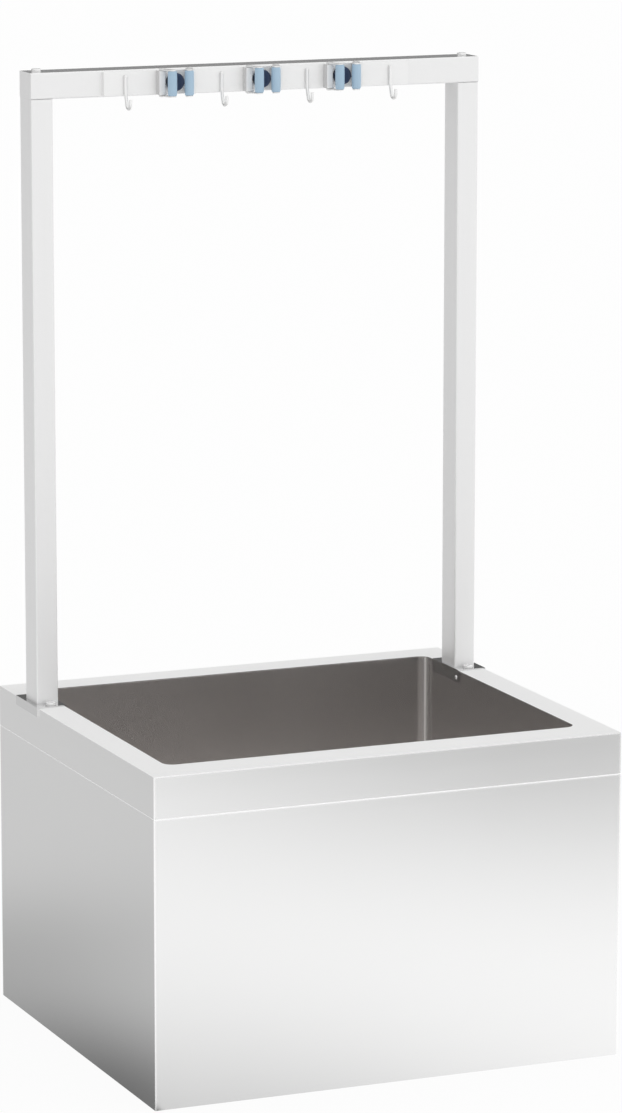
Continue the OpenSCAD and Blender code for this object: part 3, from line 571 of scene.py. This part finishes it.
def springCoil(s, mirrored):
    coil = bmesh.new()
    circle = bmesh.ops.create_circle(coil, segments=s["ringSteps"], radius=s["wire"], cap_ends=False)
    ring = circle["verts"]
    quarterTurn(coil, ring, "Y")
    bmesh.ops.translate(coil, vec=(0, s["radius"], 0), verts=ring)
    start = [e for e in coil.edges]
    leg = bmesh.ops.extrude_edge_only(coil, edges=start)
    legEnd = [v for v in leg["geom"] if isinstance(v, bmesh.types.BMVert)]
    bmesh.ops.translate(coil, vec=(-s["leg"], 0, 0), verts=legEnd)
    steps = s["turns"] * s["turnSteps"]
    bmesh.ops.spin(coil, geom=ring + start, cent=(0, 0, 0), axis=(0, 0, 1),
                   dvec=(0, 0, s["pitch"] / s["turnSteps"]), angle=-math.tau * s["turns"], steps=steps)
    bmesh.ops.remove_doubles(coil, verts=coil.verts, dist=near)
    bmesh.ops.holes_fill(coil, edges=coil.edges, sides=0)
    bmesh.ops.translate(coil, vec=(0, 0, -s["turns"] * s["pitch"] / 2), verts=coil.verts)
    if mirrored:
        bmesh.ops.scale(coil, vec=(-1, 1, 1), verts=coil.verts)
    return coil


def makeSprings(s):
    form = bmesh.new()
    for hinge in [joint for joint in joints if joint["type"] == "hinge"]:
        coil = springCoil(s, hinge["child"].endswith("left"))
        bmesh.ops.translate(coil, vec=hinge["pos_m"], verts=coil.verts)
        closeUp(coil)
        addForm(form, coil)
    finishPiece("torsion_springs", form, "base", "clip_springs")


makeSprings(spring)
print("springs made")

# bolt heads with rounded tops and a hexagon socket
bolts = {
    "top_bolts": {"shank": 0.003, "head": 0.00575, "height": 0.0035, "edge": 0.0011, "socket": 0.0023,
                  "deep": 0.0018, "length": 0.056},
    "saddle_bolts": {"shank": 0.003, "head": 0.0065, "height": 0.004, "edge": 0.0013, "socket": 0.0023,
                     "deep": 0.0022, "length": 0.0129},
}
boltTurn = {"steps": 48, "segments": 5}
hexagonSide = math.tau / 6


def socketBolt(form, b, place):
    bolt = bmesh.new()
    bottom = b["height"] - b["deep"]
    turnRound(bolt, [(0, -b["length"]), (b["shank"], -b["length"]), (b["shank"], 0), (b["head"], 0),
                     (b["head"], b["height"]), (b["socket"], b["height"]), (b["socket"], bottom),
                     (0, bottom)], boltTurn["steps"])
    # the round recess is drawn in to a hexagon
    for v in bolt.verts:
        if abs(math.hypot(v.co.x, v.co.y) - b["socket"]) < near and v.co.z > 0:
            turn = math.atan2(v.co.y, v.co.x) % hexagonSide - hexagonSide / 2
            v.co.xy *= math.cos(hexagonSide / 2) / math.cos(turn)
    roundRing(bolt, b["head"], b["height"], b["edge"], boltTurn["segments"])
    bmesh.ops.translate(bolt, vec=place, verts=bolt.verts)
    closeUp(bolt)
    addForm(form, bolt)


# a bolt in each corner of the node's box, or in the middle of its left and right ends
def makeBolts(node, b):
    low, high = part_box(node)
    form = bmesh.new()
    rows = [low.y + b["head"], high.y - b["head"]]
    if rows[1] - rows[0] < b["head"]:
        rows = [(low.y + high.y) / 2]
    for x in (low.x + b["head"], high.x - b["head"]):
        for y in rows:
            socketBolt(form, b, (x, y, high.z - b["height"]))
    finishPiece(node + "_dressed", form, "base", node)


for node, b in bolts.items():
    makeBolts(node, b)
print("bolts made")

# no lamps: the world lights the object, and polished sheet mirrors the tones of the floor;
# those are tones as seen in the sheet, which gives back only a share of them
studio = {
    "floorSize": 30.0,
    "floorTone": 0.90,
    "paper": 0.9,
    "worldTone": 1.07,
    "leftTone": 0.78,
    "backTone": 0.12,
    "sheetShare": 0.84,
    "backFrom": (0.2, 0.8),
    "lowFrom": (0.2, 0.5),
    "leftFrom": (0.2, 0.9),
}

# the floor as polished sheet mirrors it: light, with soft darker patches of painted shade
frontFloor = {
    "tone": 0.943,
    "paintedShadePools": [
        {"x": -0.31, "y": 0.10, "wide": 0.46, "long": 0.77, "depth": 0.40},
        {"x": 1.00, "y": -2.3, "wide": 0.62, "long": 0.88, "depth": 0.84},
    ],
}
# the floor to the left as polished sheet mirrors it: darker all over as painted shade, with its own patches
# of painted shade, lighter far off
leftFloor = {
    "tone": 0.565,
    "alongY": (-1.1, -0.55),
    "leftOf": (0.285, 0.3),
    "far": 0.12,
    "farFrom": (1.5, 5.5),
    "paintedShadePools": [
        {"x": -0.28, "y": -0.21, "wide": 0.20, "long": 0.52, "depth": 0.412},
        {"x": -0.45, "y": 0.51, "wide": 0.24, "long": 0.28, "depth": 0.127},
    ],
}


def poolTone(x, y, field):
    tone = field["tone"]
    for pool in field["paintedShadePools"]:
        across, along = (x - pool["x"]) / pool["wide"], (y - pool["y"]) / pool["long"]
        tone = tone - (-(across * across + along * along)).exp() * pool["depth"]
    return tone


def makeFloor(s):
    form = bmesh.new()
    bmesh.ops.create_grid(form, x_segments=1, y_segments=1, size=s["floorSize"])
    floor = newObject("floor", form)
    made, b = newBoard("floor")
    x, y, z = b.parts(b.place())
    camRay = b.node("ShaderNodeLightPath", out="Is Camera Ray")
    glossRay = b.node("ShaderNodeLightPath", out="Is Glossy Ray")
    matte = b.node("ShaderNodeBsdfDiffuse", None, {"Color": gray(s["floorTone"])})
    onLeft = y.rise(*leftFloor["alongY"]) * (-x).rise(*leftFloor["leftOf"])
    left = poolTone(x, y, leftFloor) + y.rise(*leftFloor["farFrom"]) * leftFloor["far"]
    tone = poolTone(x, y, frontFloor) * (1 - onLeft) + left * onLeft
    # the blend's factor stops at 1, so the tone is halved and its light doubled
    seen = b.node("ShaderNodeEmission", None,
                  {"Color": b.blend(tone / s["sheetShare"] / 2, gray(0), gray(2)), "Strength": 1.0})
    paper = b.node("ShaderNodeEmission", None, {"Color": gray(1.0), "Strength": 1.0})
    pale = b.node("ShaderNodeMixShader", None, {0: camRay * s["paper"], 1: matte, 2: paper})
    b.show(b.node("ShaderNodeMixShader", None, {0: glossRay, 1: pale, 2: seen}))
    floor.data.materials.append(made)


def makeWorld(s):
    world = bpy.data.worlds.new("studio")
    world.use_nodes = True
    bpy.context.scene.world = world
    b = Board(world.node_tree)
    x, y, z = b.parts(b.node("ShaderNodeTexCoord", out="Generated"))
    camRay = b.node("ShaderNodeLightPath", out="Is Camera Ray")
    behind = y.rise(*s["backFrom"]) * (1 - z.rise(*s["lowFrom"]))
    side = b.blend((-x).rise(*s["leftFrom"]), gray(s["worldTone"]), gray(s["leftTone"]))
    tone = b.blend(behind, side, gray(s["backTone"]))
    sky = b.node("ShaderNodeBackground", None,
                 {"Color": b.blend(camRay, tone, gray(1.0)), "Strength": 1.0})
    b.show(sky, "ShaderNodeOutputWorld")


makeFloor(studio)
makeWorld(studio)
bpy.context.scene.view_settings.view_transform = "Standard"
print("studio set")
